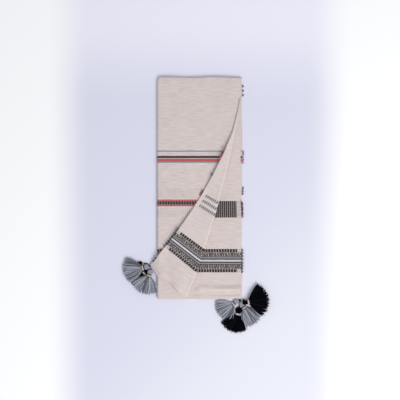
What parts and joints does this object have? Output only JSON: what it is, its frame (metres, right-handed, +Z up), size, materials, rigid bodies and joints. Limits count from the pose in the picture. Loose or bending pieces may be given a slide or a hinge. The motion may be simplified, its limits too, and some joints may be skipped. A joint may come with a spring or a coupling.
{
  "type": "table runner",
  "caption": "Hand-woven cotton table runner with striped bands and corner tassels, folded in layers with one corner turned over.",
  "frame": {"origin": "middle of the underside of the folded cloth", "axes": "+Z up from the table, +Y along the cloth towards its crosswise fold, +X from the lengthwise fold towards the selvedges"},
  "size_m": [0.2998, 0.5281, 0.0135],
  "materials": {
    "woven_cotton": "matte slubby plain weave with striped bands",
    "hem_thread": "matte cotton thread",
    "pattern_yarn": "matte dyed yarn",
    "black_yarn": "matte dyed yarn",
    "grey_yarn": "soft twisted yarn",
    "neck_thread": "smooth wound thread"
  },
  "bodies": {
    "lower_half": {"lower_half": "woven_cotton", "lower_hem_thread": "hem_thread", "lower_yarn_turns": "pattern_yarn", "lower_knot_outer": "black_yarn", "lower_knot_inner": "black_yarn"},
    "upper_half": {"upper_half": "woven_cotton"},
    "turned_corner": {"turned_corner": "woven_cotton", "corner_yarn_turns": "pattern_yarn", "upper_knot_outer": "black_yarn", "upper_knot_inner": "black_yarn"},
    "tassel_right_black": {"tassel_right_black_skirt": "black_yarn", "tassel_right_black_head": "black_yarn", "tassel_right_black_wrap": "neck_thread", "tassel_right_black_bindings": "black_yarn", "tassel_right_black_cord": "black_yarn"},
    "tassel_right_grey": {"tassel_right_grey_skirt": "grey_yarn", "tassel_right_grey_head": "grey_yarn", "tassel_right_grey_wrap": "neck_thread", "tassel_right_grey_bindings": "black_yarn", "tassel_right_grey_cord": "black_yarn"},
    "tassel_front_black": {"tassel_front_black_skirt": "black_yarn", "tassel_front_black_head": "black_yarn", "tassel_front_black_wrap": "neck_thread", "tassel_front_black_bindings": "black_yarn", "tassel_front_black_cord": "black_yarn"},
    "tassel_front_grey": {"tassel_front_grey_skirt": "grey_yarn", "tassel_front_grey_head": "grey_yarn", "tassel_front_grey_wrap": "neck_thread", "tassel_front_grey_bindings": "black_yarn", "tassel_front_grey_cord": "black_yarn"},
    "tassel_left_grey": {"tassel_left_grey_skirt": "grey_yarn", "tassel_left_grey_head": "grey_yarn", "tassel_left_grey_wrap": "neck_thread", "tassel_left_grey_bindings": "black_yarn", "tassel_left_grey_cord": "black_yarn"},
    "tassel_left_black": {"tassel_left_black_skirt": "black_yarn", "tassel_left_black_head": "black_yarn", "tassel_left_black_wrap": "neck_thread", "tassel_left_black_bindings": "black_yarn", "tassel_left_black_cord": "black_yarn"},
    "tassel_near_grey": {"tassel_near_grey_skirt": "grey_yarn", "tassel_near_grey_head": "grey_yarn", "tassel_near_grey_wrap": "neck_thread", "tassel_near_grey_bindings": "black_yarn", "tassel_near_grey_cord": "black_yarn"},
    "tassel_near_black": {"tassel_near_black_skirt": "black_yarn", "tassel_near_black_head": "black_yarn", "tassel_near_black_wrap": "neck_thread", "tassel_near_black_bindings": "black_yarn", "tassel_near_black_cord": "black_yarn"}
  },
  "joints": [
    {"name": "lengthwise_fold", "type": "hinge", "parent": "lower_half", "child": "upper_half", "pos_m": [-0.0865, 0, 0.0042], "axis": [0, -1, 0], "range_deg": [0, 170]},
    {"name": "corner_crease", "type": "hinge", "parent": "upper_half", "child": "turned_corner", "pos_m": [0.01825, -0.0785, 0.0085], "axis": [0.2741, 0.9617, 0], "range_deg": [0, 170]},
    {"name": "tassel_right_black_swing", "type": "hinge", "parent": "lower_half", "child": "tassel_right_black", "pos_m": [0.0915, -0.231, 0.0026], "axis": [0, 0, 1], "range_deg": [-12, 15]},
    {"name": "tassel_right_grey_swing", "type": "hinge", "parent": "lower_half", "child": "tassel_right_grey", "pos_m": [0.0915, -0.231, 0.0026], "axis": [0, 0, 1], "range_deg": [-5, 10]},
    {"name": "tassel_front_black_swing", "type": "hinge", "parent": "lower_half", "child": "tassel_front_black", "pos_m": [0.085, -0.231, 0.0026], "axis": [0, 0, 1], "range_deg": [-12, 4]},
    {"name": "tassel_front_grey_swing", "type": "hinge", "parent": "lower_half", "child": "tassel_front_grey", "pos_m": [0.085, -0.231, 0.0026], "axis": [0, 0, 1], "range_deg": [-4, 8]},
    {"name": "tassel_left_grey_swing", "type": "hinge", "parent": "turned_corner", "child": "tassel_left_grey", "pos_m": [-0.1011, -0.161, 0.0034], "axis": [0, 0, 1], "range_deg": [-8, 10]},
    {"name": "tassel_left_black_swing", "type": "hinge", "parent": "turned_corner", "child": "tassel_left_black", "pos_m": [-0.1011, -0.161, 0.0034], "axis": [0, 0, 1], "range_deg": [-8, 6]},
    {"name": "tassel_near_grey_swing", "type": "hinge", "parent": "turned_corner", "child": "tassel_near_grey", "pos_m": [-0.0999, -0.168, 0.0034], "axis": [0, 0, 1], "range_deg": [-10, 1]},
    {"name": "tassel_near_black_swing", "type": "hinge", "parent": "turned_corner", "child": "tassel_near_black", "pos_m": [-0.0999, -0.168, 0.0034], "axis": [0, 0, 1], "range_deg": [-6, 8]}
  ],
  "couplings": [
    {"joint": "corner_crease", "follows": "lengthwise_fold", "ratio": 1}
  ]
}
